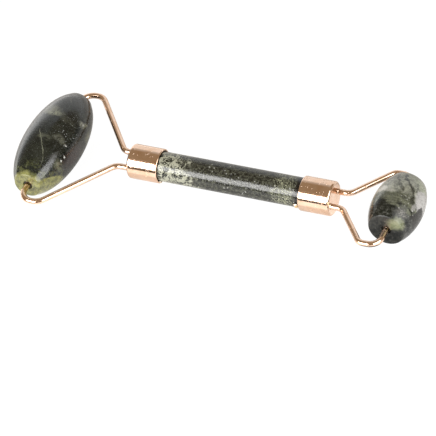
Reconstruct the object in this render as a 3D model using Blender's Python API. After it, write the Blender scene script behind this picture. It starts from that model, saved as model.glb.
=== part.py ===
"""Double-ended stone face roller: a round stone handle, a plated ferrule glued on each end, and
two bent wires at each end that carry a barrel-shaped stone on their turned-in tips.

Everything is drawn about the handle: X along the handle, with the large roller at -X, and Y along
both rollers' axes, so that the four wires lie in the plane Z = 0. The root empty then lays the
object down on its two stones, with the origin under the middle of its bounding box.
"""

import math

import bmesh
import bpy
from mathutils import Matrix, Vector

MM = 0.001

# Handle: a stone rod, and a drawn metal cup on each end of it
ROD_RADIUS = 5.0 * MM
ROD_BARE_LENGTH = 49.9 * MM
ROD_CHAMFER = 0.4 * MM
ROD_DEPTH_IN_FERRULE = 8.4 * MM
FERRULE_RADIUS = 5.8 * MM
FERRULE_LENGTH = 10.85 * MM
FERRULE_BORE_RADIUS = 5.3 * MM
FERRULE_PLATE = 0.8 * MM
FERRULE_END_ROUND = 0.8 * MM
FERRULE_LIP_ROUND = 0.4 * MM
GLUE_GAP = 0.3 * MM

# Wires
WIRE_RADIUS = 1.0 * MM
WIRE_TIP_CHAMFER = 0.25 * MM
WIRE_HOLE_RADIUS = 1.1 * MM
WIRE_ROOT_OFFSET = 3.67 * MM
WIRE_ROOT_PROUD = 0.7 * MM
ROOT_BEND_RADIUS = 3.6 * MM

# Bearings: plastic sleeves pressed into the stones' bores
BORE_RADIUS = 1.45 * MM
BORE_CHAMFER = 0.2 * MM
SLEEVE_RADIUS = 1.35 * MM
SLEEVE_BORE_RADIUS = 1.07 * MM
SLEEVE_INSET = 0.6 * MM

# Each end, seen from the handle's middle. axle_x is the roller's axis; root_bend_x, splay and
# apex_y set out the wire, which ends at tip_y inside the bore. The stone is an ellipsoid of
# revolution with its ends cut flat, and it has slid along its axle by its play, shift_y.
LARGE_END = {
    "name": "large",
    "side": -1,
    "axle_x": 65.1 * MM,
    "root_bend_x": 40.3 * MM,
    "splay": math.radians(52.5),
    "apex_y": 27.1 * MM,
    "shoulder_radius": 4.4 * MM,
    "hook_radius": 4.4 * MM,
    "tip_y": 14.5 * MM,
    "stone_radius": 10.1 * MM,
    "stone_half_axis": 23.6 * MM,
    "stone_half_length": 21.3 * MM,
    "shift_y": 0.8 * MM,
    "sleeve_length": 5.0 * MM,
}
SMALL_END = {
    "name": "small",
    "side": 1,
    "axle_x": 57.0 * MM,
    "root_bend_x": 39.9 * MM,
    "splay": math.radians(51.5),
    "apex_y": 17.1 * MM,
    "shoulder_radius": 2.7 * MM,
    "hook_radius": 3.6 * MM,
    "tip_y": 4.5 * MM,
    "stone_radius": 8.55 * MM,
    "stone_half_axis": 14.9 * MM,
    "stone_half_length": 10.8 * MM,
    "shift_y": 1.3 * MM,
    "sleeve_length": 4.0 * MM,
}

# Facets
ROUND_SEGMENTS = 40
SMALL_ROUND_SEGMENTS = 24
WIRE_BEVEL_RESOLUTION = 6
STONE_STEPS = 16
STONE_EDGE_ROUND = 0.5 * MM
ARC_STEP = math.radians(15)
WELD_DISTANCE = 1e-7

# Derived sizes
FERRULE_MOUTH_X = ROD_BARE_LENGTH / 2
FERRULE_FACE_X = FERRULE_MOUTH_X + FERRULE_LENGTH
FERRULE_FLOOR_X = FERRULE_FACE_X - FERRULE_PLATE
ROD_HALF_LENGTH = FERRULE_MOUTH_X + ROD_DEPTH_IN_FERRULE
AXLE_SPAN = LARGE_END["axle_x"] + SMALL_END["axle_x"]
TILT = math.asin((LARGE_END["stone_radius"] - SMALL_END["stone_radius"]) / AXLE_SPAN)


def remove_everything():
    for obj in list(bpy.data.objects):
        bpy.data.objects.remove(obj)


def material(name, colour, roughness, metallic):
    made = bpy.data.materials.new(name)
    made.use_nodes = True
    shader = made.node_tree.nodes["Principled BSDF"]
    shader.inputs["Base Color"].default_value = (*colour, 1.0)
    shader.inputs["Roughness"].default_value = roughness
    shader.inputs["Metallic"].default_value = metallic
    made.diffuse_color = (*colour, 1.0)
    return made


def add_object(name, data, parent, finish):
    obj = bpy.data.objects.new(name, data)
    bpy.context.scene.collection.objects.link(obj)
    obj.parent = parent
    data.materials.append(finish)
    return obj


def add_empty(name, parent, location):
    empty = bpy.data.objects.new(name, None)
    bpy.context.scene.collection.objects.link(empty)
    empty.parent = parent
    empty.location = location
    return empty


def lay_down():
    """The root empty: tilts the object onto its two stones and centres its bounding box on X."""
    reach_low = LARGE_END["axle_x"] * math.cos(TILT) + LARGE_END["stone_radius"]
    reach_high = SMALL_END["axle_x"] * math.cos(TILT) + SMALL_END["stone_radius"]
    height = LARGE_END["stone_radius"] - LARGE_END["axle_x"] * math.sin(TILT)
    root = add_empty("face_roller", None, ((reach_low - reach_high) / 2, 0, height))
    root.rotation_euler = (0, TILT, 0)
    return root


def turned_mesh(name, outline, axis, segments):
    """Spins (position along the axis, radius) points about X or Y. An outline that starts and
    ends on the axis is a solid; any other one is closed into a ring."""
    mesh = bmesh.new()
    if axis == "X":
        corners = [mesh.verts.new((along, radius, 0)) for along, radius in outline]
        spin_axis = (1, 0, 0)
    else:
        corners = [mesh.verts.new((radius, along, 0)) for along, radius in outline]
        spin_axis = (0, 1, 0)
    edges = [mesh.edges.new(pair) for pair in zip(corners, corners[1:])]
    if outline[0][1] > 0:
        edges.append(mesh.edges.new((corners[-1], corners[0])))
    bmesh.ops.spin(
        mesh,
        geom=corners + edges,
        cent=(0, 0, 0),
        axis=spin_axis,
        angle=math.tau,
        steps=segments,
    )
    bmesh.ops.remove_doubles(mesh, verts=mesh.verts, dist=WELD_DISTANCE)
    bmesh.ops.recalc_face_normals(mesh, faces=mesh.faces)
    data = bpy.data.meshes.new(name)
    mesh.to_mesh(data)
    mesh.free()
    data.shade_smooth()
    data.set_sharp_from_angle(angle=math.radians(30))
    return data


def arc(centre, radius, start, end):
    """Points of an arc in a plane, both ends included."""
    steps = max(2, math.ceil(abs(end - start) / ARC_STEP))
    angles = [start + (end - start) * step / steps for step in range(steps + 1)]
    return [(centre[0] + radius * math.cos(a), centre[1] + radius * math.sin(a)) for a in angles]


def bend(before, corner, after, radius):
    """Points of the arc that rounds a corner between two straight stretches."""
    into = (corner - before).normalized()
    away = (after - corner).normalized()
    turn = into.angle(away)
    setback = radius * math.tan(turn / 2)
    inward = (away - into * into.dot(away)).normalized()
    start = corner - into * setback
    centre = start + inward * radius
    steps = max(2, math.ceil(turn / ARC_STEP))
    angles = [turn * step / steps for step in range(steps + 1)]
    return [centre - inward * radius * math.cos(a) + into * radius * math.sin(a) for a in angles]


def cut(obj, cutter):
    modifier = obj.modifiers.new("cut_" + cutter.name, "BOOLEAN")
    modifier.operation = "DIFFERENCE"
    modifier.solver = "EXACT"
    modifier.object = cutter
    cutter.hide_render = True
    cutter.display_type = "WIRE"


def handle_rod(parent, stone):
    tip = ROD_RADIUS - ROD_CHAMFER
    shoulder = ROD_HALF_LENGTH - ROD_CHAMFER
    outline = [
        (-ROD_HALF_LENGTH, 0),
        (-ROD_HALF_LENGTH, tip),
        (-shoulder, ROD_RADIUS),
        (shoulder, ROD_RADIUS),
        (ROD_HALF_LENGTH, tip),
        (ROD_HALF_LENGTH, 0),
    ]
    add_object("handle_rod", turned_mesh("handle_rod", outline, "X", ROUND_SEGMENTS), parent, stone)


def wire_hole_cutter(name, end, parent, radius, finish):
    """Two bars where the wires' roots pass, joined in one mesh, to cut their holes."""
    low = FERRULE_FLOOR_X - 2 * WIRE_ROOT_PROUD - GLUE_GAP
    high = FERRULE_FACE_X + FERRULE_PLATE
    outline = [(low, 0), (low, radius), (high, radius), (high, 0)]
    mesh = bmesh.new()
    for offset in (-WIRE_ROOT_OFFSET, WIRE_ROOT_OFFSET):
        bar = turned_mesh(name, outline, "X", SMALL_ROUND_SEGMENTS)
        bar.transform(Matrix.Translation((0, offset, 0)))
        mesh.from_mesh(bar)
        bpy.data.meshes.remove(bar)
    data = bpy.data.meshes.new(name)
    mesh.to_mesh(data)
    mesh.free()
    if end["side"] < 0:
        data.transform(Matrix.Rotation(math.pi, 4, "Z"))
    return add_object(name, data, parent, finish)


def ferrule(end, parent, plating):
    """A drawn cup: rounded outer corner, two holes in its plate and a rounded lip at its mouth."""
    shoulder = FERRULE_FACE_X - FERRULE_END_ROUND
    lip_x = FERRULE_MOUTH_X + FERRULE_LIP_ROUND
    corner = arc((shoulder, FERRULE_RADIUS - FERRULE_END_ROUND), FERRULE_END_ROUND, 0, math.pi / 2)
    lip_centre = (lip_x, FERRULE_RADIUS - FERRULE_LIP_ROUND)
    lip = arc(lip_centre, FERRULE_LIP_ROUND, math.pi / 2, math.pi)
    outline = [(FERRULE_FACE_X, 0), *corner, *lip]
    outline += [(FERRULE_MOUTH_X, FERRULE_BORE_RADIUS)]
    outline += [(FERRULE_FLOOR_X, FERRULE_BORE_RADIUS), (FERRULE_FLOOR_X, 0)]
    name = end["name"] + "_ferrule"
    data = turned_mesh(name, outline, "X", ROUND_SEGMENTS)
    if end["side"] < 0:
        data.transform(Matrix.Rotation(math.pi, 4, "Z"))
    cup = add_object(name, data, parent, plating)
    cut(cup, wire_hole_cutter(name + "_holes", end, parent, WIRE_HOLE_RADIUS, plating))


def adhesive_plug(end, parent, epoxy):
    """The cured adhesive between the rod's end and the cup's plate, around the wires' roots."""
    low = ROD_HALF_LENGTH + GLUE_GAP
    high = FERRULE_FLOOR_X - GLUE_GAP
    radius = FERRULE_BORE_RADIUS - GLUE_GAP
    outline = [(low, 0), (low, radius), (high, radius), (high, 0)]
    name = end["name"] + "_adhesive_plug"
    data = turned_mesh(name, outline, "X", ROUND_SEGMENTS)
    if end["side"] < 0:
        data.transform(Matrix.Rotation(math.pi, 4, "Z"))
    plug = add_object(name, data, parent, epoxy)
    hole_radius = WIRE_RADIUS + GLUE_GAP
    cut(plug, wire_hole_cutter(name + "_holes", end, parent, hole_radius, epoxy))


def wire_route(end):
    """The wire's centre line, from its root in the ferrule's plate to its tip in the stone."""
    axle_x = end["axle_x"]
    apex_y = end["apex_y"]
    run = (apex_y - WIRE_ROOT_OFFSET) / math.tan(end["splay"])
    root = Vector((FERRULE_FLOOR_X - WIRE_ROOT_PROUD, WIRE_ROOT_OFFSET, 0))
    elbow = Vector((end["root_bend_x"], WIRE_ROOT_OFFSET, 0))
    shoulder = Vector((end["root_bend_x"] + run, apex_y, 0))
    hook = Vector((axle_x, apex_y, 0))
    tip = Vector((axle_x, end["tip_y"], 0))
    points = [root, root + Vector((WIRE_TIP_CHAMFER, 0, 0))]
    points += bend(root, elbow, shoulder, ROOT_BEND_RADIUS)
    points += bend(elbow, shoulder, hook, end["shoulder_radius"])
    points += bend(shoulder, hook, tip, end["hook_radius"])
    points += [tip + Vector((0, WIRE_TIP_CHAMFER, 0)), tip]
    return points


def wire_arm(end, reach, parent, plating):
    """reach is +1 for the wire on the +Y side and -1 for its mirror image."""
    name = end["name"] + ("_arm_far" if reach > 0 else "_arm_near")
    data = bpy.data.curves.new(name, "CURVE")
    data.dimensions = "3D"
    data.bevel_depth = WIRE_RADIUS
    data.bevel_resolution = WIRE_BEVEL_RESOLUTION
    data.use_fill_caps = True
    route = wire_route(end)
    spline = data.splines.new("POLY")
    spline.points.add(len(route) - 1)
    spline.use_smooth = True
    for point, place in zip(spline.points, route):
        point.co = (place.x * end["side"], place.y * reach, place.z, 1)
    tip_scale = 1 - WIRE_TIP_CHAMFER / WIRE_RADIUS
    spline.points[0].radius = tip_scale
    spline.points[-1].radius = tip_scale
    add_object(name, data, parent, plating)


def roller_stone(end, axle, stone):
    """An ellipsoid of revolution about Y with its ends cut flat and a bore through it."""
    half = end["stone_half_length"]

    def radius_at(along):
        return end["stone_radius"] * math.sqrt(1 - (along / end["stone_half_axis"]) ** 2)

    edge = half - STONE_EDGE_ROUND
    face_radius = radius_at(edge) - STONE_EDGE_ROUND
    angle = math.asin(edge / half)
    turns = [angle - 2 * angle * step / STONE_STEPS for step in range(STONE_STEPS + 1)]
    flank = [(half * math.sin(turn), radius_at(half * math.sin(turn))) for turn in turns]
    outline = [
        (half - BORE_CHAMFER, BORE_RADIUS),
        (half, BORE_RADIUS + BORE_CHAMFER),
        (half, face_radius),
        *flank,
        (-half, face_radius),
        (-half, BORE_RADIUS + BORE_CHAMFER),
        (BORE_CHAMFER - half, BORE_RADIUS),
    ]
    name = end["name"] + "_roller_stone"
    add_object(name, turned_mesh(name, outline, "Y", ROUND_SEGMENTS), axle, stone)


def sleeve(end, reach, axle, plastic):
    outer = end["stone_half_length"] - SLEEVE_INSET
    inner = outer - end["sleeve_length"]
    outline = [
        (inner, SLEEVE_BORE_RADIUS),
        (outer, SLEEVE_BORE_RADIUS),
        (outer, SLEEVE_RADIUS),
        (inner, SLEEVE_RADIUS),
    ]
    name = end["name"] + ("_sleeve_far" if reach > 0 else "_sleeve_near")
    data = turned_mesh(name, outline, "Y", SMALL_ROUND_SEGMENTS)
    if reach < 0:
        data.transform(Matrix.Rotation(math.pi, 4, "Z"))
    add_object(name, data, axle, plastic)


def build():
    remove_everything()
    dark_jade = material("dark_jade", (0.045, 0.055, 0.045), 0.3, 0.0)
    pale_jade = material("pale_jade", (0.12, 0.135, 0.11), 0.3, 0.0)
    rose_gold = material("rose_gold_plating", (0.86, 0.56, 0.4), 0.15, 1.0)
    plastic = material("clear_nylon", (0.75, 0.73, 0.66), 0.4, 0.0)
    epoxy = material("cured_epoxy", (0.78, 0.7, 0.5), 0.25, 0.0)
    root = lay_down()
    handle_rod(root, dark_jade)
    for end, stone in ((LARGE_END, dark_jade), (SMALL_END, pale_jade)):
        place = (end["side"] * end["axle_x"], end["shift_y"], 0)
        axle = add_empty(end["name"] + "_axle", root, place)
        ferrule(end, root, rose_gold)
        adhesive_plug(end, root, epoxy)
        roller_stone(end, axle, stone)
        for reach in (-1, 1):
            wire_arm(end, reach, root, rose_gold)
            sleeve(end, reach, axle, plastic)


build()
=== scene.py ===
import math

import bmesh
import bpy
from mathutils import Matrix, Vector, noise


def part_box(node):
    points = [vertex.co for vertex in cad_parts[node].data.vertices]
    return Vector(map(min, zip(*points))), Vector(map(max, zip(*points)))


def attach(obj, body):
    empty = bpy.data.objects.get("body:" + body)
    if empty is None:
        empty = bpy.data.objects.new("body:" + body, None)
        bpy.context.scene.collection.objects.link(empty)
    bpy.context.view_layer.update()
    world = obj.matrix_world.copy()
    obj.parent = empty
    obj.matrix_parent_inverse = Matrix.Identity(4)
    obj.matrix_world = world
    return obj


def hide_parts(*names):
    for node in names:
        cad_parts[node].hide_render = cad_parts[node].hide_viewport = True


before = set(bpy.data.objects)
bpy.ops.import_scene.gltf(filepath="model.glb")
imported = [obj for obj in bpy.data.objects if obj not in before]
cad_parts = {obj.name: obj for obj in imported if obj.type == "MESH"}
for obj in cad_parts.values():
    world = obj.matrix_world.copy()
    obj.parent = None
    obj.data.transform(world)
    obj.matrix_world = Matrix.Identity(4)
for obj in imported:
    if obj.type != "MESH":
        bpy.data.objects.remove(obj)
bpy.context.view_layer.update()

MM = 0.001


# ---------------------------------------------------------------- where the CAD is
def middle(node):
    low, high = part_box(node)
    return (low + high) / 2


def half_size(node):
    low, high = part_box(node)
    return (high - low) / 2


HANDLE_CENTRE = (middle("large_ferrule") + middle("small_ferrule")) / 2
ALONG = middle("small_roller_stone") - middle("large_roller_stone")
ALONG.y = 0
ALONG.normalize()
UP = ALONG.cross(Vector((0, 1, 0)))
TO_WORLD = Matrix.Translation(HANDLE_CENTRE) @ Matrix((ALONG, (0, 1, 0), UP)).transposed().to_4x4()
TO_HANDLE = TO_WORLD.inverted()
HALF_TURN = Matrix.Rotation(math.pi, 4, "Z")

# ---------------------------------------------------------------- sizes, as in the CAD source
ROD_RADIUS = 5.0 * MM
ROD_BARE_HALF = 24.95 * MM
ROD_DEPTH_IN_FERRULE = 8.4 * MM
FERRULE_RADIUS = 5.8 * MM
FERRULE_LENGTH = 10.85 * MM
FERRULE_BORE_RADIUS = 5.3 * MM
FERRULE_PLATE = 0.8 * MM
FERRULE_END_ROUND = 0.8 * MM
FERRULE_FACE = ROD_BARE_HALF + FERRULE_LENGTH
WIRE_RADIUS = 1.0 * MM
WIRE_ROOT_OFFSET = 3.67 * MM
WIRE_HOLE_RADIUS = 1.1 * MM
ROOT_BEND_RADIUS = 3.6 * MM
BORE_RADIUS = 1.45 * MM

# Each end's side along X, the bends and tip of its wires, the half length of the ellipse that
# its stone's flank follows, and the bead of glue at its cup's mouth
ENDS = (
    {
        "name": "large",
        "side": -1,
        "root_bend_x": 40.3 * MM,
        "splay": math.radians(52.5),
        "shoulder_radius": 4.4 * MM,
        "hook_radius": 4.4 * MM,
        "tip_y": 14.5 * MM,
        "half_axis": 23.6 * MM,
        "slot": "dark_jade",
        "bead_turn": math.radians(-143),
        "bead_size": 0.55 * MM,
    },
    {
        "name": "small",
        "side": 1,
        "root_bend_x": 39.9 * MM,
        "splay": math.radians(51.5),
        "shoulder_radius": 2.7 * MM,
        "hook_radius": 3.6 * MM,
        "tip_y": 4.5 * MM,
        "half_axis": 14.9 * MM,
        "slot": "pale_jade",
        "bead_turn": math.radians(-164),
        "bead_size": 1.0 * MM,
    },
)


# ---------------------------------------------------------------- node trees
class Nodes:
    """A node tree, written as nested calls. Places are in millimetres."""

    def __init__(self, tree):
        self.tree = tree

    def put(self, kind, values, output=0, **settings):
        """Adds a node, fills or links its inputs and gives one of its outputs."""
        node = self.tree.nodes.new(kind)
        for name, value in settings.items():
            setattr(node, name, value)
        for key, value in values.items():
            self.plug(node.inputs[key], value)
        return node.outputs[output]

    def plug(self, socket, value):
        """Links a socket to an output, or sets its own value."""
        if isinstance(value, bpy.types.NodeSocket):
            self.tree.links.new(value, socket)
        elif socket.type == "RGBA" and len(value) == 3:
            socket.default_value = (*value, 1.0)
        else:
            socket.default_value = value

    # numbers
    def math(self, operation, a, b=0.0):
        return self.put("ShaderNodeMath", {0: a, 1: b}, operation=operation)

    def plus(self, a, b):
        return self.math("ADD", a, b)

    def minus(self, a, b):
        return self.math("SUBTRACT", a, b)

    def times(self, a, b):
        return self.math("MULTIPLY", a, b)

    def any_of(self, first, *others):
        for mask in others:
            first = self.math("MAXIMUM", first, mask)
        return first

    def all_of(self, first, *others):
        for mask in others:
            first = self.times(first, mask)
        return first

    def swing(self, value, size):
        """A noise's swing about its middle value, a half, made size times as large."""
        return self.times(self.minus(value, 0.5), size)

    def step(self, value, low, high, to_low=0.0, to_high=1.0):
        """A smooth step of value from low to high, clamped."""
        values = {0: value, 1: low, 2: high, 3: to_low, 4: to_high}
        return self.put("ShaderNodeMapRange", values, interpolation_type="SMOOTHSTEP")

    # vectors
    def vector(self, operation, a, b=(0, 0, 0), output=0):
        values = {0: a, 1: b}
        return self.put("ShaderNodeVectorMath", values, output=output, operation=operation)

    def grown(self, vector, by):
        return self.put("ShaderNodeVectorMath", {0: vector, 3: by}, operation="SCALE")

    def dot(self, vector, direction):
        return self.vector("DOT_PRODUCT", vector, direction, output=1)

    def parts(self, vector):
        """The X, Y and Z of a vector."""
        return self.put("ShaderNodeSeparateXYZ", {0: vector}).node.outputs

    def between(self, amount, a, b):
        """Part of the way between two vectors."""
        values = {1: (amount,) * 3, 4: a, 5: b}
        settings = {"data_type": "VECTOR", "factor_mode": "NON_UNIFORM"}
        return self.put("ShaderNodeMix", values, output=1, **settings)

    def place(self, centre):
        """The surface's place about a point of the object at rest."""
        spot = self.put("ShaderNodeTexCoord", {}, output=3)
        return self.grown(self.vector("SUBTRACT", spot, centre), 1 / MM)

    # colours
    def mix(self, amount, a, b):
        return self.put("ShaderNodeMix", {0: amount, 6: a, 7: b}, output=2, data_type="RGBA")

    def lay(self, colour, mask, strength, tint):
        """The colour with a tint laid over it inside a mask."""
        return self.mix(self.times(mask, strength), colour, tint)

    def grey(self, amount):
        return self.put("ShaderNodeCombineColor", {0: amount, 1: amount, 2: amount})

    def scale_colour(self, colour, amount):
        """A colour multiplied by a number."""
        values = {0: 1.0, 6: colour, 7: self.grey(amount)}
        settings = {"data_type": "RGBA", "blend_type": "MULTIPLY"}
        return self.put("ShaderNodeMix", values, output=2, **settings)

    # patterns
    def noise(self, spot, scale, detail=2.0, rough=0.5, twist=0.0, seed=0.0):
        spot = self.vector("ADD", spot, (seed * 7.31, seed * 3.17, seed * 5.93))
        values = {"Vector": spot, "Scale": scale, "Detail": detail}
        values.update({"Roughness": rough, "Distortion": twist})
        return self.put("ShaderNodeTexNoise", values)

    def warp(self, spot, scale, amount, seed=0.0, detail=2.0):
        """The place pushed about by noise, up to an amount each way."""
        moved = self.vector("ADD", spot, (seed * 5.71, seed * 9.13, seed * 2.39))
        values = {"Vector": moved, "Scale": scale, "Detail": detail}
        push = self.put("ShaderNodeTexNoise", values, output=1)
        push = self.vector("SUBTRACT", push, (0.5, 0.5, 0.5))
        return self.vector("ADD", spot, self.grown(push, amount * 2))

    def dots(self, spot, scale, size, seed=0.0):
        """Separate round specks: 1 inside, 0 between them."""
        spot = self.vector("ADD", spot, (seed * 4.37, seed * 6.11, seed * 8.53))
        far = self.put("ShaderNodeTexVoronoi", {"Vector": spot, "Scale": scale, "Randomness": 1.0})
        return self.step(far, size, size * 0.4)

    def blob(self, spot, centre, radii, soft):
        """1 inside an ellipsoid, falling to 0 over its soft rim."""
        off = self.vector("DIVIDE", self.vector("SUBTRACT", spot, centre), radii)
        return self.step(self.vector("LENGTH", off, output=1), 1.0, 1.0 - soft)

    def flat_blob(self, spot, centre, radii, soft):
        """A blob on the unrolled skin of a stone."""
        return self.blob(spot, (*centre, 0), (*radii, 1), soft)

    def band(self, spot, normal, offset, width, soft=0.5):
        """1 within a slab about a plane, for veins."""
        far = self.dot(spot, Vector(normal).normalized())
        far = self.math("ABSOLUTE", self.minus(far, offset))
        return self.step(far, width, width * (1 - soft))


class Finish(Nodes):
    """A material and its node tree."""

    def __init__(self, name):
        self.material = bpy.data.materials.new(name)
        self.material.use_nodes = True
        super().__init__(self.material.node_tree)
        self.shader = self.tree.nodes["Principled BSDF"]

    def shade(self, **values):
        """Sets or links inputs of the shader, named with _ for a space."""
        for name, value in values.items():
            self.plug(self.shader.inputs[name.replace("_", " ")], value)

    def bump(self, height, distance, strength, under=None):
        values = {"Height": height, "Distance": distance, "Strength": strength}
        if under is not None:
            values["Normal"] = under
        return self.put("ShaderNodeBump", values)


# ---------------------------------------------------------------- materials
INK = (0.0016, 0.0038, 0.0026)
DARK_GREEN = (0.0092, 0.0148, 0.0098)
MOSS = (0.062, 0.067, 0.052)
OLIVE = (0.232, 0.232, 0.078)
OLIVE_SHADE = (0.106, 0.110, 0.038)
PALE = (0.38, 0.385, 0.32)
MAUVE_GREY = (0.047, 0.036, 0.036)
# near black: painted shade where the rod meets the cups' mouths
MOUTH_SHADE = (0.004, 0.003, 0.002)
STONE_IOR = 1.58


def finish_stone(n, colour, chalky, spot, grain, depth):
    """Polished stone: gloss broken up by fine grain and by chalky places."""
    fine = n.noise(spot, grain, detail=3, rough=0.6, seed=9)
    coarse = n.noise(spot, 0.45, detail=2, seed=4)
    dull = n.any_of(n.step(fine, 0.50, 0.62), chalky)
    n.shade(Base_Color=colour, Roughness=n.step(dull, 0.0, 1.0, 0.09, 0.46), IOR=STONE_IOR)
    relief = n.bump(fine, depth, 0.75)
    relief = n.bump(coarse, 0.10 * MM, 0.35, relief)
    n.shade(Normal=relief)
    return n.material


def streaks(n, spot, stretch, scale, seed):
    """Noise drawn out into short wavering streaks."""
    bent = n.warp(n.vector("MULTIPLY", spot, stretch), 0.8, 0.7, seed=seed, detail=3)
    return n.noise(bent, scale, detail=4, rough=0.65, seed=seed + 1)


def rod_stone():
    """Near-black stone with fine specks. Towards the large roller it turns pale with dark
    squiggles, and towards the small one it gets a faint pale net."""
    n = Finish("rod_stone")
    spot = n.place(HANDLE_CENTRE)
    along = n.parts(spot)[0]
    cloud = n.noise(n.warp(spot, 0.35, 1.6, seed=1), 0.22, detail=5, rough=0.65, seed=2)
    streak = streaks(n, spot, (0.9, 1.3, 1.3), 1.15, 3)
    grit = n.noise(spot, 2.3, detail=3, rough=0.7, seed=14)

    dark = n.mix(n.step(streak, 0.43, 0.62), (0.0030, 0.0036, 0.0020), (0.053, 0.056, 0.040))
    dark = n.lay(dark, n.step(grit, 0.54, 0.70), 0.5, (0.18, 0.182, 0.140))
    speck = n.dots(n.warp(spot, 1.1, 0.4, seed=6), 0.85, 0.27, seed=2)
    speck = n.times(speck, n.step(n.noise(spot, 0.35, detail=1, seed=8), 0.50, 0.58))
    dark = n.lay(dark, speck, 0.7, (0.46, 0.47, 0.45))

    squiggle = n.warp(spot, 0.9, 0.8, seed=15)
    squiggle = n.noise(squiggle, 0.85, detail=3, rough=0.55, twist=1.2, seed=5)
    pale = n.mix(n.step(squiggle, 0.455, 0.52), (0.010, 0.012, 0.007), (0.31, 0.315, 0.245))
    pale = n.lay(pale, n.step(grit, 0.54, 0.68), 0.5, (0.43, 0.435, 0.35))

    # the ragged border between them leans: it lies further along on the lower near side
    towards_lower = n.dot(spot, (0, -0.75, -0.66))
    border = n.plus(n.plus(along, n.swing(cloud, 20.0)), n.swing(squiggle, -14.0))
    border = n.minus(border, n.times(towards_lower, 0.6))
    colour = n.mix(n.step(border, -12.5, -17.0), dark, pale)

    net = n.noise(n.warp(spot, 0.6, 1.6, seed=11), 0.62, detail=3, twist=1.5, seed=12)
    net = n.step(n.math("ABSOLUTE", n.minus(net, 0.5)), 0.05, 0.02)
    net = n.times(net, n.step(grit, 0.3, 0.6))
    netted = n.step(n.plus(along, n.swing(cloud, 14.0)), 14.5, 18.5)
    lighter = n.step(streak, 0.42, 0.62, 0.0, 0.10)
    colour = n.lay(colour, netted, lighter, (0.07, 0.075, 0.045))
    netted = n.times(netted, n.step(along, 23.4, 21.8))
    colour = n.lay(colour, net, netted, (0.31, 0.32, 0.22))

    # painted shade: a dark ring on the rod where it meets each cup's mouth, wider at the small
    # roller's
    mouth = ROD_BARE_HALF / MM
    wider = 0.95
    reach = n.any_of(n.times(along, -1.0), n.plus(along, wider))
    reach = n.plus(reach, n.swing(grit, 0.5))
    colour = n.mix(n.step(reach, mouth - 0.35, mouth - 0.1), colour, MOUTH_SHADE)

    dull = n.any_of(speck, n.step(streak, 0.62, 0.42, 0.0, 0.3))
    return finish_stone(n, colour, dull, spot, 2.1, 0.050 * MM)


def skin(n, spot, node):
    """The stone's surface unrolled: millimetres round it from its top, growing towards +X, and
    millimetres along its axle, growing towards +Y."""
    x, y, z = n.parts(spot)
    around = n.times(n.math("ARCTAN2", x, z), half_size(node).z / MM)
    return n.put("ShaderNodeCombineXYZ", {0: around, 1: y, 2: 0.0})


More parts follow.
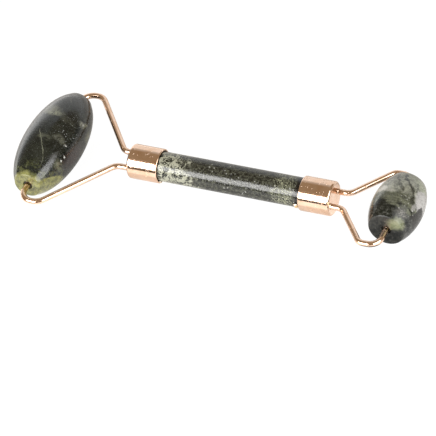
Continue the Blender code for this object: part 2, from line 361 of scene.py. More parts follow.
def large_stone():
    """Very dark green, with grey wisps beyond and an olive near end."""
    node = "large_roller_stone"
    n = Finish("large_stone")
    spot = n.place(middle(node))
    soft = skin(n, n.warp(spot, 0.30, 1.3, seed=21), node)
    rag = skin(n, n.warp(spot, 1.0, 1.1, seed=22, detail=4), node)
    line = skin(n, n.warp(spot, 0.55, 0.55, seed=27, detail=3), node)
    cloud = n.noise(n.warp(spot, 0.16, 2.2, seed=23), 0.16, detail=5, rough=0.6, seed=23)
    wisp = n.noise(n.warp(spot, 0.35, 1.4, seed=24), 0.55, detail=5, rough=0.7, seed=25)
    fibre = streaks(n, spot, (0.7, 1.5, 0.9), 1.0, 26)
    grit = n.noise(spot, 2.2, detail=3, rough=0.7, seed=28)

    colour = n.mix(n.step(fibre, 0.46, 0.66), INK, DARK_GREEN)
    colour = n.lay(colour, n.step(cloud, 0.50, 0.66), 0.4, (0.026, 0.030, 0.022))
    colour = n.lay(colour, n.step(wisp, 0.58, 0.70), 0.28, MOSS)
    colour = n.lay(colour, n.step(grit, 0.60, 0.72), 0.22, (0.12, 0.124, 0.112))

    def cloudy(colour, centre, radii, strength, tint, low, high):
        """Lays a patch whose tint shows where the wisps pass from low to high."""
        patch = n.flat_blob(soft, centre, radii, 0.75)
        return n.lay(colour, n.times(patch, n.step(wisp, low, high)), strength, tint)

    # the smooth grey far end, the wisps beside it, and fainter patches further on
    colour = cloudy(colour, (4.0, 16.5), (13.0, 7.5), 0.60, (0.032, 0.033, 0.031), 0.2, 0.5)
    colour = cloudy(colour, (-2.6, 6.9), (4.6, 3.6), 0.75, (0.15, 0.155, 0.125), 0.34, 0.56)
    colour = cloudy(colour, (-0.4, 5.2), (5.0, 2.8), 0.80, (0.150, 0.158, 0.115), 0.33, 0.56)
    colour = cloudy(colour, (0.4, 4.7), (3.2, 1.6), 0.90, (0.22, 0.235, 0.165), 0.42, 0.56)
    colour = cloudy(colour, (5.2, 3.4), (3.6, 2.0), 0.30, (0.10, 0.105, 0.08), 0.36, 0.55)
    colour = cloudy(colour, (6.6, -5.2), (3.6, 2.2), 0.75, (0.115, 0.12, 0.092), 0.34, 0.54)
    colour = cloudy(colour, (1.4, -7.0), (3.6, 1.5), 0.65, (0.10, 0.108, 0.078), 0.34, 0.54)
    colour = cloudy(colour, (12.2, -12.6), (3.6, 2.6), 0.85, (0.105, 0.112, 0.072), 0.32, 0.52)
    # painted highlight over the stone's haze: this grey patch lies where the highlight streak fades
    # and draws it further up the stone
    colour = cloudy(colour, (8.3, -12.0), (1.9, 3.4), 0.75, (0.070, 0.073, 0.073), 0.25, 0.50)
    colour = cloudy(colour, (11.0, 6.3), (2.0, 1.5), 0.85, (0.20, 0.205, 0.165), 0.40, 0.56)
    colour = cloudy(colour, (12.4, 7.7), (1.2, 1.8), 0.85, (0.20, 0.21, 0.16), 0.38, 0.54)
    colour = cloudy(colour, (16.6, 6.8), (3.2, 4.6), 0.60, (0.145, 0.155, 0.095), 0.34, 0.55)

    # the olive near end, which reaches further up the right side
    around, along = n.parts(n.between(0.6, rag, soft))[:2]
    climb = n.step(around, 9.0, 20.0, 0.0, 8.6)
    near = n.plus(n.times(along, -1.0), climb)
    olive = n.step(near, 19.6, 20.9)
    mottle = n.noise(n.warp(spot, 0.5, 1.2, seed=31), 0.6, detail=4, rough=0.6, seed=32)
    mottled = n.mix(n.step(mottle, 0.36, 0.60), OLIVE_SHADE, OLIVE)
    colour = n.lay(colour, olive, 0.92, mottled)
    border = n.times(n.step(near, 14.0, 19.5), n.step(near, 21.5, 20.0))
    stray = n.times(border, n.step(wisp, 0.48, 0.60))
    colour = n.lay(colour, stray, 0.6, (0.095, 0.105, 0.040))

    # purplish grey low on the right side
    colour = n.lay(colour, n.flat_blob(soft, (14.5, -5.0), (4.0, 9.0), 0.8), 0.6, MAUVE_GREY)

    # a healed crack, and a fainter one at the far end
    crack = n.band(line, (0.852, 0.523, 0), -3.5, 0.17, 0.8)
    crack = n.times(crack, n.flat_blob(line, (2.2, -10.0), (7.0, 8.2), 0.25))
    crack = n.times(crack, n.step(grit, 0.25, 0.55))
    colour = n.lay(colour, crack, 0.9, (0.21, 0.22, 0.165))
    scratch = n.band(line, (0.85, 0.53, 0), 9.1, 0.10)
    scratch = n.times(scratch, n.flat_blob(line, (1.7, 14.2), (2.2, 2.6), 0.5))
    colour = n.lay(colour, scratch, 0.35, PALE)

    # scattered specks with dark pits among them, and four white flecks
    speck = n.dots(n.warp(spot, 1.4, 0.4, seed=33), 1.15, 0.27, seed=29)
    patchy = n.noise(spot, 0.9, detail=1, seed=36)
    speck = n.times(speck, n.step(patchy, 0.40, 0.60, 0.35, 1.0))
    speckled = n.flat_blob(soft, (8.4, 1.5), (7.0, 11.0), 0.5)
    stardust = n.all_of(n.dots(spot, 1.8, 0.21, seed=31), n.step(cloud, 0.42, 0.55), 0.42)
    speck = n.any_of(n.times(speck, speckled), stardust)
    pit = n.times(n.dots(spot, 1.0, 0.25, seed=35), speckled)
    colour = n.lay(colour, pit, 0.8, (0.004, 0.004, 0.004))
    colour = n.lay(colour, speck, 0.7, (0.42, 0.45, 0.46))
    flecks = n.any_of(
        n.flat_blob(rag, (11.8, -9.1), (0.55, 0.42), 0.7),
        n.flat_blob(rag, (11.7, -10.7), (0.7, 0.5), 0.7),
        n.flat_blob(rag, (9.5, -5.7), (0.36, 0.32), 0.7),
        n.flat_blob(rag, (11.4, 6.6), (0.35, 0.7), 0.7),
    )
    colour = n.mix(flecks, colour, (0.56, 0.57, 0.55))
    chalky = n.any_of(n.times(speck, 0.5), flecks)
    return finish_stone(n, colour, chalky, spot, 2.6, 0.040 * MM)


def small_stone():
    """Pale grey-green beyond, mid green round the middle and nearly black at the near end."""
    node = "small_roller_stone"
    n = Finish("small_stone")
    spot = n.place(middle(node))
    soft = skin(n, n.warp(spot, 0.35, 1.0, seed=41), node)
    rag = skin(n, n.warp(spot, 0.9, 1.2, seed=42, detail=4), node)
    line = skin(n, n.warp(spot, 0.7, 1.3, seed=47, detail=4), node)
    soft_along = n.parts(soft)[1]
    rag_around, rag_along = n.parts(rag)[:2]
    wisp = n.noise(n.warp(spot, 0.5, 1.2, seed=44), 0.6, detail=5, rough=0.7, seed=45)
    grit = n.noise(spot, 2.2, detail=3, rough=0.7, seed=46)

    pale = n.mix(n.step(wisp, 0.36, 0.62), (0.105, 0.110, 0.088), (0.265, 0.272, 0.222))
    mid = n.mix(n.step(wisp, 0.36, 0.62), (0.050, 0.054, 0.040), (0.125, 0.132, 0.092))
    colour = n.mix(n.step(rag_along, -1.6, 0.4), mid, pale)
    layers = n.vector("MULTIPLY", n.warp(spot, 0.4, 0.8, seed=50), (0.25, 1.6, 0.5))
    layers = n.step(n.noise(layers, 0.7, detail=3, seed=45), 0.50, 0.60)
    layered = n.times(layers, n.step(soft_along, 1.0, -1.5))
    colour = n.lay(colour, layered, 0.7, (0.028, 0.031, 0.022))

    def blotch(colour, centre, radii, strength, tint, soften):
        return n.lay(colour, n.flat_blob(rag, centre, radii, soften), strength, tint)

    # light blotches with one dark streak among them, and the chalk-white patch
    colour = blotch(colour, (2.2, 8.3), (4.8, 2.6), 0.7, (0.21, 0.22, 0.17), 0.6)
    colour = blotch(colour, (-3.0, 6.4), (4.2, 2.6), 0.6, (0.115, 0.12, 0.098), 0.7)
    colour = blotch(colour, (-1.2, -2.5), (4.2, 0.8), 0.75, (0.050, 0.054, 0.034), 0.6)
    colour = blotch(colour, (-5.4, 0.3), (4.0, 1.8), 0.95, (0.40, 0.395, 0.355), 0.45)
    colour = blotch(colour, (-1.4, -0.9), (3.0, 1.0), 0.7, (0.30, 0.295, 0.26), 0.7)
    colour = blotch(colour, (8.6, 7.2), (4.6, 3.4), 0.75, (0.255, 0.275, 0.205), 0.6)
    chalk = n.mix(n.step(wisp, 0.32, 0.56), (0.24, 0.238, 0.232), (0.385, 0.378, 0.37))
    colour = n.mix(n.flat_blob(rag, (12.2, 1.6), (5.6, 5.2), 0.28), colour, chalk)
    colour = blotch(colour, (8.6, -3.1), (1.2, 1.6), 0.8, (0.27, 0.265, 0.255), 0.5)

    # dusk on the lower right, and the black band across the near end with its ragged border
    dusk = n.minus(soft_along, n.step(rag_around, 9.5, 11.8, -5.6, 0.2))
    dusk = n.times(n.step(dusk, 0.5, -0.3), n.step(rag_around, 8.4, 9.8))
    colour = n.lay(colour, dusk, 0.96, (0.0085, 0.0082, 0.0070))
    black = n.step(rag_along, -6.0, -6.8)
    ashen = n.mix(n.step(wisp, 0.46, 0.62), INK, (0.050, 0.052, 0.046))
    colour = n.lay(colour, black, 0.97, ashen)
    colour = blotch(colour, (-3.6, -6.0), (3.2, 1.9), 1.0, INK, 0.4)
    colour = blotch(colour, (0.8, -7.2), (3.2, 0.9), 0.9, INK, 0.5)
    colour = blotch(colour, (3.6, -5.4), (1.6, 0.7), 0.85, INK, 0.5)
    colour = blotch(colour, (8.4, -4.9), (1.8, 0.6), 0.85, INK, 0.5)
    scuffed = n.mix(n.step(grit, 0.48, 0.60), (0.035, 0.034, 0.030), (0.20, 0.195, 0.17))
    colour = blotch(colour, (6.4, -7.4), (3.0, 1.8), 0.85, scuffed, 0.6)

    def vein(colour, start, end, width, strength):
        """A dark line from one place on the skin to another."""
        start = Vector((*start, 0))
        end = Vector((*end, 0))
        way = (end - start).normalized()
        normal = Vector((way.y, -way.x, 0))
        centre = (start + end) / 2
        reach = (end - start).length / 2 + 0.6
        drawn = n.band(line, normal, normal.dot(centre), width, 0.8)
        drawn = n.times(drawn, n.blob(line, tuple(centre), (reach, reach, 1), 0.2))
        drawn = n.times(drawn, n.step(grit, 0.2, 0.5))
        return n.lay(colour, drawn, strength, (0.020, 0.022, 0.016))

    # a long vein with a darker core, from the top down to the right, and three branches
    for start, end, width in (
        ((0.8, 9.0), (2.2, 5.6), 0.8),
        ((2.0, 6.2), (5.6, 2.6), 1.1),
        ((5.2, 3.4), (7.2, -2.0), 1.2),
    ):
        colour = vein(colour, start, end, width, 0.65)
        colour = vein(colour, start, end, width * 0.42, 0.85)
    colour = vein(colour, (-2.4, 9.0), (-0.2, 4.4), 0.9, 0.7)
    colour = vein(colour, (-0.4, 4.8), (2.6, 0.6), 0.9, 0.7)
    colour = vein(colour, (6.6, 6.5), (6.9, 3.0), 0.7, 0.65)

    # the dark end face, with yellow-green beside its hole
    end_face = n.step(n.parts(spot)[1], -10.2, -10.8)
    face_dark = n.mix(n.step(wisp, 0.40, 0.62), (0.0045, 0.0055, 0.0050), (0.026, 0.027, 0.023))
    colour = n.lay(colour, end_face, 0.95, face_dark)
    lime_flank = n.flat_blob(rag, (7.8, -10.2), (4.4, 1.8), 0.6)
    lime_face = n.blob(n.warp(spot, 0.8, 0.9, seed=51), (3.9, -10.8, 3.2), (4.2, 2.5, 3.1), 0.7)
    lime = n.any_of(n.times(lime_flank, 0.7), lime_face)
    limy = n.mix(n.step(wisp, 0.38, 0.60), (0.13, 0.15, 0.075), (0.235, 0.245, 0.150))
    colour = n.lay(colour, lime, 0.9, limy)

    # light and dark grains, white specks, and the worn or ground places that shine less
    colour = n.lay(colour, n.step(grit, 0.55, 0.70), 0.35, n.scale_colour(colour, 1.7))
    colour = n.lay(colour, n.step(grit, 0.45, 0.30), 0.45, n.scale_colour(colour, 0.45))
    speck = n.dots(n.warp(spot, 1.2, 0.5, seed=48), 0.85, 0.24, seed=49)
    speck = n.times(speck, n.flat_blob(soft, (6.5, -3.5), (5.5, 6.5), 0.6))
    speck = n.any_of(speck, n.times(n.dots(spot, 1.4, 0.18, seed=52), 0.35))
    colour = n.lay(colour, speck, 0.75, (0.50, 0.50, 0.48))
    worn = n.flat_blob(soft, (6.2, -7.6), (5.0, 3.6), 0.4)
    worn = n.times(worn, n.step(grit, 0.62, 0.36, 0.75, 1.3))
    chalky = n.any_of(n.times(speck, 0.6), worn, n.times(end_face, 0.85))
    return finish_stone(n, colour, chalky, spot, 2.8, 0.045 * MM)


ROSE_GOLD = (0.87, 0.63, 0.48)
ROSE_GOLD_WORN = (0.80, 0.53, 0.36)


def plating(name, along, wave, smoothest, roughest):
    """Rose gold over brass: bright and a little uneven, with polishing lines drawn out along one
    axis and a few dings."""
    n = Finish(name)
    spot = n.place(HANDLE_CENTRE)
    lines = n.noise(n.vector("MULTIPLY", spot, along), 2.0, detail=3, rough=0.6, seed=61)
    cloud = n.noise(spot, 0.35, detail=3, seed=62)
    tint = n.mix(n.step(cloud, 0.35, 0.8), ROSE_GOLD, ROSE_GOLD_WORN)
    n.shade(Base_Color=tint, Metallic=1.0, Roughness=n.step(lines, 0.3, 0.7, smoothest, roughest))
    dings = n.dots(n.warp(spot, 1.2, 0.6, seed=65), 1.1, 0.26, seed=66)
    dings = n.times(dings, n.step(n.noise(spot, 0.4, detail=1, seed=67), 0.46, 0.54))
    relief = n.bump(n.noise(spot, 1.1, detail=2, seed=63), wave, 0.5)
    relief = n.bump(n.noise(spot, 3.0, detail=2, seed=64), 0.006 * MM, 0.5, relief)
    relief = n.bump(dings, -0.09 * MM, 1.0, relief)
    relief = n.bump(lines, 0.004 * MM, 0.5, relief)
    n.shade(Normal=relief)
    return n.material


def nylon():
    n = Finish("sleeve_nylon")
    spot = n.place(HANDLE_CENTRE)
    cloud = n.noise(spot, 1.2, detail=3, seed=71)
    colour = n.mix(cloud, (0.012, 0.009, 0.006), (0.045, 0.034, 0.022))
    n.shade(Base_Color=colour, Roughness=0.42, IOR=1.53)
    n.shade(Normal=n.bump(n.noise(spot, 6.0, detail=2, seed=72), 0.01 * MM, 0.5))
    return n.material


def adhesive():
    """Cured glue: whitish, amber in places."""
    n = Finish("cured_adhesive")
    spot = n.place(HANDLE_CENTRE)
    cloud = n.step(n.noise(spot, 0.9, detail=4, seed=81), 0.40, 0.60)
    n.shade(Base_Color=n.mix(cloud, (0.46, 0.30, 0.14), (0.86, 0.84, 0.78)), Roughness=0.2, IOR=1.55)
    n.shade(Normal=n.bump(n.noise(spot, 2.5, detail=3, seed=82), 0.03 * MM, 0.6))
    return n.material


def dark_seam():
    n = Finish("dark_seam")
    cloud = n.noise(n.place(HANDLE_CENTRE), 1.5, detail=4, seed=91)
    # near black: painted shade in the gap between the rod and the cup
    n.shade(Base_Color=n.mix(cloud, MOUTH_SHADE, (0.022, 0.015, 0.010)), Roughness=0.6)
    n.shade(Normal=n.bump(cloud, 0.03 * MM, 0.6))
    return n.material


# ---------------------------------------------------------------- mesh makers
def add_piece(name, data, body, finish, nodes=()):
    data.shade_smooth()
    data.materials.append(finish)
    obj = bpy.data.objects.new(name, data)
    bpy.context.scene.collection.objects.link(obj)
    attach(obj, body)
    if nodes:
        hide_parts(*nodes)


def to_data(name, mesh):
    """The finished mesh of a bmesh, which is freed."""
    data = bpy.data.meshes.new(name)
    mesh.to_mesh(data)
    mesh.free()
    return data


def arc(centre, radius, start, end, steps):
    """Points of an arc in a plane, both ends included."""
    angles = [start + (end - start) * i / steps for i in range(steps + 1)]
    return [(centre[0] + radius * math.cos(a), centre[1] + radius * math.sin(a)) for a in angles]


def filled_in(outline, longest):
    """The outline with its long stretches cut into shorter ones."""
    made = [outline[0]]
    for before, after in zip(outline, outline[1:]):
        parts = max(1, math.ceil(math.dist(before, after) / longest))
        for i in range(1, parts + 1):
            t = i / parts
            along = before[0] + (after[0] - before[0]) * t
            radius = before[1] + (after[1] - before[1]) * t
            made.append((along, radius))
    return made


def turned(name, outline, axis, segments, closed=False):
    """A surface of revolution about X or Y from (position along the axis, radius) points. Its ends
    meet on the axis, or the last ring joins the first one."""
    mesh = bmesh.new()
    rings = []
    for along, radius in outline:
        ring = []
        for i in range(1 if radius < 1e-9 else segments):
            turn = math.tau * i / segments
            if axis == "X":
                spot = (along, radius * math.cos(turn), radius * math.sin(turn))
            else:
                spot = (radius * math.sin(turn), along, radius * math.cos(turn))
            ring.append(mesh.verts.new(spot))
        rings.append(ring)
    pairs = list(zip(rings, rings[1:]))
    if closed:
        pairs.append((rings[-1], rings[0]))
    for one, two in pairs:
        for i in range(segments):
            corners = [one[i % len(one)], one[(i + 1) % len(one)]]
            corners += [two[(i + 1) % len(two)], two[i % len(two)]]
            corners = list(dict.fromkeys(corners))
            if len(corners) > 2:
                mesh.faces.new(corners)
    bmesh.ops.recalc_face_normals(mesh, faces=mesh.faces)
    return to_data(name, mesh)


def swept(name, route, radius, tip_round, segments=32):
    """A round bar along a flat route (in the plane Z = 0), with its two tips rounded."""
    tangents = []
    for i in range(len(route)):
        before = route[max(0, i - 1)]
        after = route[min(len(route) - 1, i + 1)]
        tangents.append((after - before).normalized())

    def tip_ring(tip, inward, angle):
        """A ring of a tip: its centre, its direction and its radius."""
        centre = route[tip] + inward * tip_round * (1 - math.cos(angle))
        return centre, tangents[tip], radius - tip_round + tip_round * math.sin(angle)

    rounding = [math.radians(a) for a in (0, 22, 45, 67)]
    stations = [tip_ring(0, tangents[0], a) for a in rounding]
    for spot, tangent in list(zip(route, tangents))[1:-1]:
        if min((spot - route[0]).length, (spot - route[-1]).length) > tip_round:
            stations.append((spot, tangent, radius))
    stations += [tip_ring(-1, -tangents[-1], a) for a in reversed(rounding)]
    up = Vector((0, 0, 1))
    mesh = bmesh.new()
    rings = []
    for spot, tangent, size in stations:
        side = up.cross(tangent).normalized()
        ring = []
        for i in range(segments):
            turn = math.tau * i / segments
            ring.append(mesh.verts.new(spot + (side * math.cos(turn) + up * math.sin(turn)) * size))
        rings.append(ring)
    for one, two in zip(rings, rings[1:]):
        for i in range(segments):
            j = (i + 1) % segments
            mesh.faces.new((one[i], one[j], two[j], two[i]))
    mesh.faces.new(list(reversed(rings[0])))
    mesh.faces.new(rings[-1])
    bmesh.ops.recalc_face_normals(mesh, faces=mesh.faces)
    return to_data(name, mesh)


def roughen(data, depth, size, seed, only=None):
    """Pushes the vertices along their normals by smooth noise, inwards only."""
    shift = Vector((seed * 3.7, seed * 1.9, seed * 5.3))
    moves = []
    for vertex in data.vertices:
        amount = noise.noise(vertex.co / size + shift) * 0.5 + 0.5
        if only is not None:
            amount *= only(vertex.co)
        moves.append(vertex.normal * (-depth * amount))
    for vertex, move in zip(data.vertices, moves):
        vertex.co += move


def bend(before, corner, after, radius):
    """Points of the arc that rounds a corner between two straight stretches."""
    into = (corner - before).normalized()
    away = (after - corner).normalized()
    turn = into.angle(away)
    inward = (away - into * into.dot(away)).normalized()
    centre = corner - into * radius * math.tan(turn / 2) + inward * radius
    steps = math.ceil(turn / math.radians(5))
    angles = [turn * i / steps for i in range(steps + 1)]
    return [centre - inward * radius * math.cos(a) + into * radius * math.sin(a) for a in angles]


def wire_route(end, hand):
    """The wire's centre line, as in the CAD, with points along its straight stretches too. The
    hand is 1 for the far wire and -1 for the near one."""
    spacing = 0.6 * MM
    axle = TO_HANDLE @ middle(end["name"] + "_roller_stone")
    arm_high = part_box(end["name"] + "_arm_far")[1]
    apex_y = arm_high.y - WIRE_RADIUS
    run = (apex_y - WIRE_ROOT_OFFSET) / math.tan(end["splay"])
    root = Vector((FERRULE_FACE - FERRULE_PLATE * 0.8, WIRE_ROOT_OFFSET, 0))
    elbow = Vector((end["root_bend_x"], WIRE_ROOT_OFFSET, 0))
    shoulder = Vector((end["root_bend_x"] + run, apex_y, 0))
    hook = Vector((abs(axle.x), apex_y, 0))
    tip = Vector((abs(axle.x), end["tip_y"], 0))
    corners = [root]
    corners += bend(root, elbow, shoulder, ROOT_BEND_RADIUS)
    corners += bend(elbow, shoulder, hook, end["shoulder_radius"])
    corners += bend(shoulder, hook, tip, end["hook_radius"])
    corners.append(tip)
    route = [corners[0]]
    for before, after in zip(corners, corners[1:]):
        parts = max(1, round((after - before).length / spacing))
        route += [before.lerp(after, i / parts) for i in range(1, parts + 1)]
    return [Vector((p.x * end["side"], p.y * hand, 0)) for p in route]


# ---------------------------------------------------------------- the pieces
def lay_on_end(data, end):
    """Takes a mesh drawn at the +X end of the handle to its own end, in world coordinates."""
    if end["side"] < 0:
        data.transform(HALF_TURN)
    data.transform(TO_WORLD)


def build_rod(finish):
    half = ROD_BARE_HALF + ROD_DEPTH_IN_FERRULE
    chamfer = 0.4 * MM
    outline = [(-half, 0), (-half, ROD_RADIUS - chamfer), (chamfer - half, ROD_RADIUS)]
    outline += [(half - chamfer, ROD_RADIUS), (half, ROD_RADIUS - chamfer), (half, 0)]
    data = turned("rod_stone", filled_in(outline, longest=0.8 * MM), "X", segments=96)
    roughen(data, depth=0.03 * MM, size=6 * MM, seed=1)
    data.transform(TO_WORLD)
    add_piece("rod_stone", data, "frame", finish, ["handle_rod"])


def drill_bars():
    """The two bars that cut the wires' holes out of a ferrule's plate."""
    low = FERRULE_FACE - 2 * MM
    high = FERRULE_FACE + MM
    outline = [(low, 0), (low, WIRE_HOLE_RADIUS), (high, WIRE_HOLE_RADIUS), (high, 0)]
    bars = bmesh.new()
    for offset in (-WIRE_ROOT_OFFSET, WIRE_ROOT_OFFSET):
        bar = turned("drill", outline, "X", segments=48)
        bar.transform(Matrix.Translation((0, offset, 0)))
        bars.from_mesh(bar)
        bpy.data.meshes.remove(bar)
    return to_data("drills", bars)


def cut_out(name, data, cutter_data):
    """The mesh that is left of one mesh when another is cut out of it."""
    kept = bpy.data.objects.new("kept", data)
    cutter = bpy.data.objects.new("cutter", cutter_data)
    for obj in (kept, cutter):
        bpy.context.scene.collection.objects.link(obj)
    cut = kept.modifiers.new("cut", "BOOLEAN")
    cut.solver = "EXACT"
    cut.object = cutter
    bpy.context.view_layer.update()
    graph = bpy.context.evaluated_depsgraph_get()
    left = bpy.data.meshes.new_from_object(kept.evaluated_get(graph))
    for obj in (kept, cutter):
        bpy.data.objects.remove(obj)
    for spent in (data, cutter_data):
        bpy.data.meshes.remove(spent)
    left.name = name
    return left


def build_ferrule(end, finish):
    """A drawn cup: rounded end corner, dished plate pierced for the wires, and a rounded lip at
    its mouth."""
    dish = 0.12 * MM
    dish_flat_radius = 0.8 * MM
    dish_slope_radius = 2.5 * MM
    lip_round = 0.36 * MM
    mouth_chamfer = 0.1 * MM
    bore_end = FERRULE_FACE - FERRULE_PLATE
    shoulder = (FERRULE_FACE - FERRULE_END_ROUND, FERRULE_RADIUS - FERRULE_END_ROUND)
    mouth = (ROD_BARE_HALF + lip_round, FERRULE_RADIUS - lip_round)
    outline = [(FERRULE_FACE - dish, 0), (FERRULE_FACE - dish, dish_flat_radius)]
    outline += [(FERRULE_FACE - dish * 0.4, dish_slope_radius)]
    outline += arc(shoulder, FERRULE_END_ROUND, 0, math.pi / 2, 10)
    outline += arc(mouth, lip_round, math.pi / 2, math.pi, 6)
    outline += [(ROD_BARE_HALF, FERRULE_BORE_RADIUS + mouth_chamfer)]
    outline += [(ROD_BARE_HALF + mouth_chamfer, FERRULE_BORE_RADIUS)]
    outline += [(bore_end, FERRULE_BORE_RADIUS), (bore_end, 0)]
    name = end["name"] + "_cup"
    cup = turned(name, filled_in(outline, longest=0.9 * MM), "X", segments=128)
    data = cut_out(name, cup, drill_bars())
    lay_on_end(data, end)
    add_piece(name, data, "frame", finish, [end["name"] + "_ferrule"])
    data.set_sharp_from_angle(angle=math.radians(40))


def build_braze(end, hand, finish):
    """The fillet of braze where a wire leaves the plate, starting a little under its surface."""
    foot = FERRULE_FACE - 0.15 * MM
    plate = FERRULE_FACE - 0.1 * MM
    toe = 0.08 * MM
    inside = WIRE_RADIUS * 0.97
    fillet = 0.5 * MM
    outline = [(foot, inside), (foot, inside + fillet + 0.1 * MM)]
    outline += arc((plate + fillet, inside + fillet + toe), fillet, math.pi, math.pi * 1.5, 6)
    outline += [(plate + fillet + 0.05 * MM, inside)]
    data = turned("braze", outline, "X", segments=40, closed=True)
    roughen(data, depth=0.16 * MM, size=0.5 * MM, seed=5 + hand + end["side"] * 2)
    data.transform(Matrix.Translation((0, WIRE_ROOT_OFFSET * hand * end["side"], 0)))
    lay_on_end(data, end)
    name = end["name"] + "_braze" + ("_far" if hand > 0 else "_near")
    add_piece(name, data, "frame", finish)


def build_wire(end, hand, finish):
    far = "_far" if hand > 0 else "_near"
    name = end["name"] + "_wire" + far
    data = swept(name, wire_route(end, hand), WIRE_RADIUS, tip_round=0.25 * MM)
    data.transform(TO_WORLD)
    add_piece(name, data, "frame", finish, [end["name"] + "_arm" + far])
    data.set_sharp_from_angle(angle=math.radians(50))


def barrel_outline(half, radius, half_axis):
    """Half a section through a stone: flat ends, an elliptic flank, rounded edges and a bore."""
    edge_round = 0.55 * MM
    rim = 0.25 * MM
    rim_step = 0.06 * MM
    rim_bevel = 0.1 * MM
    short = 0.1 * MM
    flank_steps = 72

    def radius_at(along):
        return radius * math.sqrt(1 - (along / half_axis) ** 2)

    edge = half - edge_round
    face_radius = radius_at(edge) - edge_round
    slope = math.atan2(radius_at(edge - short) - radius_at(edge), short)
    last = math.asin((edge - short) / half)
    flank = []
    for i in range(flank_steps + 1):
        along = half * math.sin(last - 2 * last * i / flank_steps)
        flank.append((along, radius_at(along)))
    corner = arc((edge, face_radius), edge_round, 0, math.pi / 2 - slope, 8)
    face = [(half - rim, BORE_RADIUS), (half - rim_step, BORE_RADIUS + rim_bevel)]
    face += [(half, BORE_RADIUS + rim + rim_bevel), *corner]
    return face + flank + [(-along, r) for along, r in reversed(face)]


def build_stone(end, finish):
    node = end["name"] + "_roller_stone"
    size = half_size(node)
    half = size.y
    outline = filled_in(barrel_outline(half, size.z, end["half_axis"]), longest=0.9 * MM)
    data = turned(node + "_smooth", outline, "Y", segments=160, closed=True)
    roughen(data, depth=0.05 * MM, size=7 * MM, seed=3 if end["side"] < 0 else 4)

    def at_rim(spot):
        """1 at the worn rims of the bore, and 0 elsewhere."""
        near_bore = math.hypot(spot.x, spot.z) < BORE_RADIUS + 0.45 * MM
        return float(near_bore and abs(spot.y) > half - 0.5 * MM)

    roughen(data, depth=0.22 * MM, size=0.8 * MM, seed=7, only=at_rim)
    data.transform(Matrix.Translation(middle(node)))
    add_piece(end["name"] + "_barrel", data, end["name"] + "_roller", finish, [node])
    data.set_sharp_from_angle(angle=math.radians(50))


def build_seam(end, finish):
    """The recessed ring of adhesive between the rod and the cup's mouth, coloured near black as
    painted shade in the gap.
    """
    mouth = ROD_BARE_HALF + 0.3 * MM
    back = mouth + 0.6 * MM
    low = ROD_RADIUS - 0.03 * MM
    high = FERRULE_BORE_RADIUS + 0.02 * MM
    hollow = 0.08 * MM
    outline = [(mouth, low), (mouth + hollow, (low + high) / 2), (mouth, high)]
    outline += [(back, high), (back, low)]
    data = turned("seam", outline, "X", segments=96, closed=True)
    roughen(data, depth=0.08 * MM, size=0.7 * MM, seed=11 + end["side"])
    lay_on_end(data, end)
    add_piece(end["name"] + "_mouth_seam", data, "frame", finish)


def build_squeeze_out(end, finish):
    """A small bead of adhesive squeezed out of the cup's mouth."""
    size = end["bead_size"]
    above_rod = 0.28 * MM
    mesh = bmesh.new()
    bmesh.ops.create_icosphere(mesh, subdivisions=4, radius=1.0)
    data = to_data("bead", mesh)
    length, height, width = (size * 1.1, size * 0.55, size * 1.5)
    data.transform(Matrix.Diagonal((length, height, width, 1)))
    roughen(data, depth=size * 0.5, size=size * 0.8, seed=31 + end["side"])
    spot = (ROD_BARE_HALF - size * 0.9, ROD_RADIUS + above_rod, 0)
    data.transform(Matrix.Translation(spot))
    data.transform(Matrix.Rotation(end["bead_turn"], 4, "X"))
    if end["side"] < 0:
        data.transform(Matrix.Scale(-1, 4, (1, 0, 0)))
        data.flip_normals()
    data.transform(TO_WORLD)
    add_piece(end["name"] + "_glue_bead", data, "frame", finish)


rod_finish = rod_stone()
stone_finishes = {"large": large_stone(), "small": small_stone()}
cup_finish = plating("cup_plating", (0.25, 3.0, 3.0), 0.016 * MM, 0.07, 0.17)
wire_finish = plating("wire_plating", (1.0, 1.0, 1.0), 0.012 * MM, 0.08, 0.18)
seam_finish = dark_seam()
glue_finish = adhesive()
nylon_finish = nylon()

build_rod(rod_finish)
for end in ENDS:
    build_ferrule(end, cup_finish)
    build_stone(end, stone_finishes[end["name"]])
    build_seam(end, seam_finish)
    for hand in (-1, 1):
        build_wire(end, hand, wire_finish)
        build_braze(end, hand, wire_finish)
for end in ENDS:
    build_squeeze_out(end, glue_finish)
for name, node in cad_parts.items():
    if "sleeve" in name:
        node.material_slots[0].material = nylon_finish
    if "plug" in name:
        node.material_slots[0].material = glue_finish


# ---------------------------------------------------------------- studio, angles in degrees
WATTS_PER_RADIANCE = 4.0
WHITE = (1.0, 1.0, 1.0)
HALF_FLOOR = 2.5
TABLE_FRONT = 64 * MM
TABLE_FACING = -20
TABLE_GREY = (0.62, 0.62, 0.62)
TABLE_SINK = 0.02 * MM
KEY_RADIANCE = 6.5
KEY_WIDTH = 0.50
KEY_HEIGHT = 0.37
KEY_DISTANCE = 0.51
KEY_MIDDLE_HEIGHT = 0.255
KEY_AZIMUTH = -26
SIDE_RADIANCE = 5.6
SIDE_X = 255
SIDE_YZ = ((44, 124), (44, 247), (-164, 286), (-263, 300), (-263, 18), (-164, 26), (-20, 58))
ROOM_COLOUR = (0.338, 0.270, 0.185)
BACKDROP_GREY = (0.66, 0.66, 0.66)
BACKDROP_AZIMUTH = -166
BACKDROP_HALF_WIDTH = math.radians(54)
BACKDROP_TOP = math.radians(49)


def heading(azimuth, elevation=0.0):
    """The direction towards a place in the studio. Azimuth 0 is towards -Y and 90 towards +X."""
    a = math.radians(azimuth)
    e = math.radians(elevation)
    return Vector((math.sin(a) * math.cos(e), -math.cos(a) * math.cos(e), math.sin(e)))


def stage(name, data, finish):
    data.materials.append(finish)
    obj = bpy.data.objects.new(name, data)
    bpy.context.scene.collection.objects.link(obj)
    return obj


def staged_board(name, corners, finish):
    data = bpy.data.meshes.new(name)
    data.from_pydata(corners, [], [tuple(range(len(corners)))])
    return stage(name, data, finish)


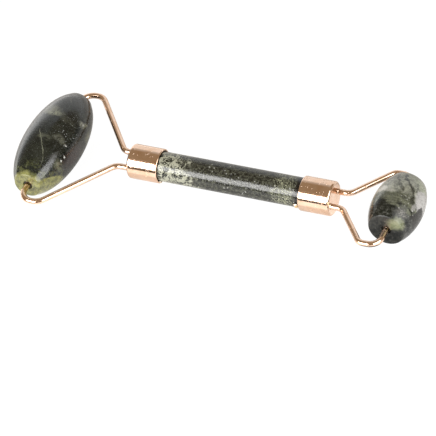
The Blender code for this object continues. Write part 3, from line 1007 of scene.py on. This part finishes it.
def glow(name, strength, grey=(0.0, 0.0, 0.0)):
    """A matt surface that also gives off white light of its own."""
    n = Finish(name)
    n.shade(Base_Color=grey, Roughness=1.0, Specular_IOR_Level=0.0)
    n.shade(Emission_Color=WHITE, Emission_Strength=strength)
    return n.material


def show_only_to_camera(obj):
    for ray in ("diffuse", "glossy", "transmission", "volume_scatter", "shadow"):
        setattr(obj, "visible_" + ray, False)


def build_floor():
    """The white floor that the camera sees."""
    edge = HALF_FLOOR
    square = [(-edge, -edge, 0), (edge, -edge, 0), (edge, edge, 0), (-edge, edge, 0)]
    paper = glow("floor_paper", 0.97, (0.08, 0.08, 0.08))
    show_only_to_camera(staged_board("floor", square, paper))


def table_paper():
    """Grey paper that glows unevenly in place of light: a painted shadow under the small roller, and
    painted pools of light beside its ferrule, in front and to the left. Places here are in metres,
    in the studio."""
    n = Finish("table_paper")
    n.shade(Roughness=1.0, Specular_IOR_Level=0.0, Emission_Color=WHITE)
    spot = n.put("ShaderNodeTexCoord", {}, output=3)
    x, y = n.parts(spot)[:2]
    # painted light: the paper's glow, brighter in front
    light = n.step(y, -13 * MM, -19 * MM, 0.20, 0.70)
    # painted shadow under the small roller: less glow and a darker grey
    dark = n.blob(spot, (0.060, -0.019, 0), (0.013, 0.011, 1), 0.6)
    kept = n.step(dark, 0.0, 1.0, 1.0, 0.08)
    light = n.times(light, kept)
    beside_ferrule = n.blob(spot, (0.044, 0.008, 0), (0.018, 0.013, 1), 0.8)
    light = n.plus(light, n.step(beside_ferrule, 0.0, 1.0, 0.0, 0.5))
    light = n.plus(light, n.step(x, -85 * MM, -150 * MM, 0.0, 1.3))
    left = n.blob(spot, (-0.115, -0.020, 0), (0.045, 0.040, 1), 0.9)
    light = n.plus(light, n.step(left, 0.0, 1.0, 0.0, 0.7))
    n.shade(Base_Color=n.scale_colour(TABLE_GREY, kept), Emission_Strength=light)
    return n.material


def build_table():
    """The table top that the object reflects. It stops short in front, which draws the thin dark
    line low on the metal."""
    front = heading(TABLE_FACING)
    across = heading(TABLE_FACING + 90)
    corners = []
    for forward, side in (
        (TABLE_FRONT, -HALF_FLOOR),
        (TABLE_FRONT, HALF_FLOOR),
        (-HALF_FLOOR, HALF_FLOOR),
        (-HALF_FLOOR, -HALF_FLOOR),
    ):
        spot = front * forward + across * side
        corners.append((spot.x, spot.y, -TABLE_SINK))
    table = staged_board("table", corners, table_paper())
    table.visible_camera = False
    table.visible_shadow = False


def build_surround():
    """A white dome that only the camera sees, far behind everything."""
    mesh = bmesh.new()
    bmesh.ops.create_uvsphere(mesh, u_segments=48, v_segments=24, radius=3.0)
    paper = glow("surround_paper", 1.1)
    show_only_to_camera(stage("surround", to_data("surround", mesh), paper))


def build_key():
    """The main light, a soft box in front and a little to the left."""
    data = bpy.data.lights.new("key", "AREA")
    data.shape = "RECTANGLE"
    data.size = KEY_WIDTH
    data.size_y = KEY_HEIGHT
    data.energy = KEY_RADIANCE * KEY_WIDTH * KEY_HEIGHT * WATTS_PER_RADIANCE
    obj = bpy.data.objects.new("key", data)
    bpy.context.scene.collection.objects.link(obj)
    out = heading(KEY_AZIMUTH)
    obj.location = out * KEY_DISTANCE + Vector((0, 0, KEY_MIDDLE_HEIGHT))
    obj.rotation_mode = "QUATERNION"
    obj.rotation_quaternion = out.to_track_quat("Z", "Y")
    obj.visible_camera = False


def build_side():
    """The second light, a board standing beside the small roller. Its places are in millimetres."""
    corners = [(SIDE_X * MM, y * MM, z * MM) for y, z in SIDE_YZ]
    board = staged_board("side_light", corners, glow("side_glow", SIDE_RADIANCE))
    board.visible_camera = False


def build_world():
    """A dim warm room with a bright backdrop behind the object, brightest on its left."""
    world = bpy.data.worlds.new("studio")
    world.use_nodes = True
    n = Nodes(world.node_tree)
    way = n.put("ShaderNodeTexCoord", {}, output=0)
    ahead = n.dot(way, heading(BACKDROP_AZIMUTH))
    left = n.dot(way, heading(BACKDROP_AZIMUTH + 90))
    turn = n.math("ARCTAN2", left, ahead)
    rise = n.parts(way)[2]

    # the backdrop is a tent: reach is 1 along its two sloping sides, less inside, more outside
    reach = n.math("DIVIDE", n.math("ABSOLUTE", turn), BACKDROP_HALF_WIDTH)
    reach = n.plus(reach, n.math("DIVIDE", n.math("ARCSINE", rise), BACKDROP_TOP))
    lit = n.step(reach, 1.11, 0.97)
    fading = n.step(reach, 1.75, 0.95)
    fading = n.times(fading, n.step(turn, math.radians(-12), math.radians(14)))
    bright = n.step(turn, math.radians(10), math.radians(36), 0.98, 2.0)
    above = n.step(rise, -0.02, 0.0)
    dim = n.step(n.math("ABSOLUTE", rise), 0.17, 0.10, 1.0, 0.12)
    colour = n.scale_colour(ROOM_COLOUR, dim)
    colour = n.lay(colour, fading, above, BACKDROP_GREY)
    colour = n.lay(colour, lit, above, n.grey(bright))
    n.plug(n.tree.nodes["Background"].inputs["Color"], colour)
    bpy.context.scene.world = world


build_floor()
build_table()
build_surround()
build_key()
build_side()
build_world()
bpy.context.scene.view_settings.view_transform = "Standard"

# ---------------------------------------------------------------- camera
CAMERA_AZIMUTH = 28.79
CAMERA_ELEVATION = 41.865
CAMERA_ROLL = math.radians(-9.686)
CAMERA_DISTANCE = 1.183
CAMERA_ACROSS = -4.793 * MM
CAMERA_RISE = -12.558 * MM
SENSOR = 36.0
FRAME_HEIGHT = 142.45 * MM

back = heading(CAMERA_AZIMUTH, CAMERA_ELEVATION)
level = heading(CAMERA_AZIMUTH + 90)
above = back.cross(level)
right = level * math.cos(CAMERA_ROLL) + above * math.sin(CAMERA_ROLL)
above = above * math.cos(CAMERA_ROLL) - level * math.sin(CAMERA_ROLL)
camera_data = bpy.data.cameras.new("camera")
camera_data.sensor_width = SENSOR
camera_data.lens = CAMERA_DISTANCE * SENSOR / FRAME_HEIGHT
camera = bpy.data.objects.new("camera", camera_data)
bpy.context.scene.collection.objects.link(camera)
eye = HANDLE_CENTRE + back * CAMERA_DISTANCE + right * CAMERA_ACROSS + above * CAMERA_RISE
camera.matrix_world = Matrix.Translation(eye) @ Matrix((right, above, back)).transposed().to_4x4()
bpy.context.scene.camera = camera
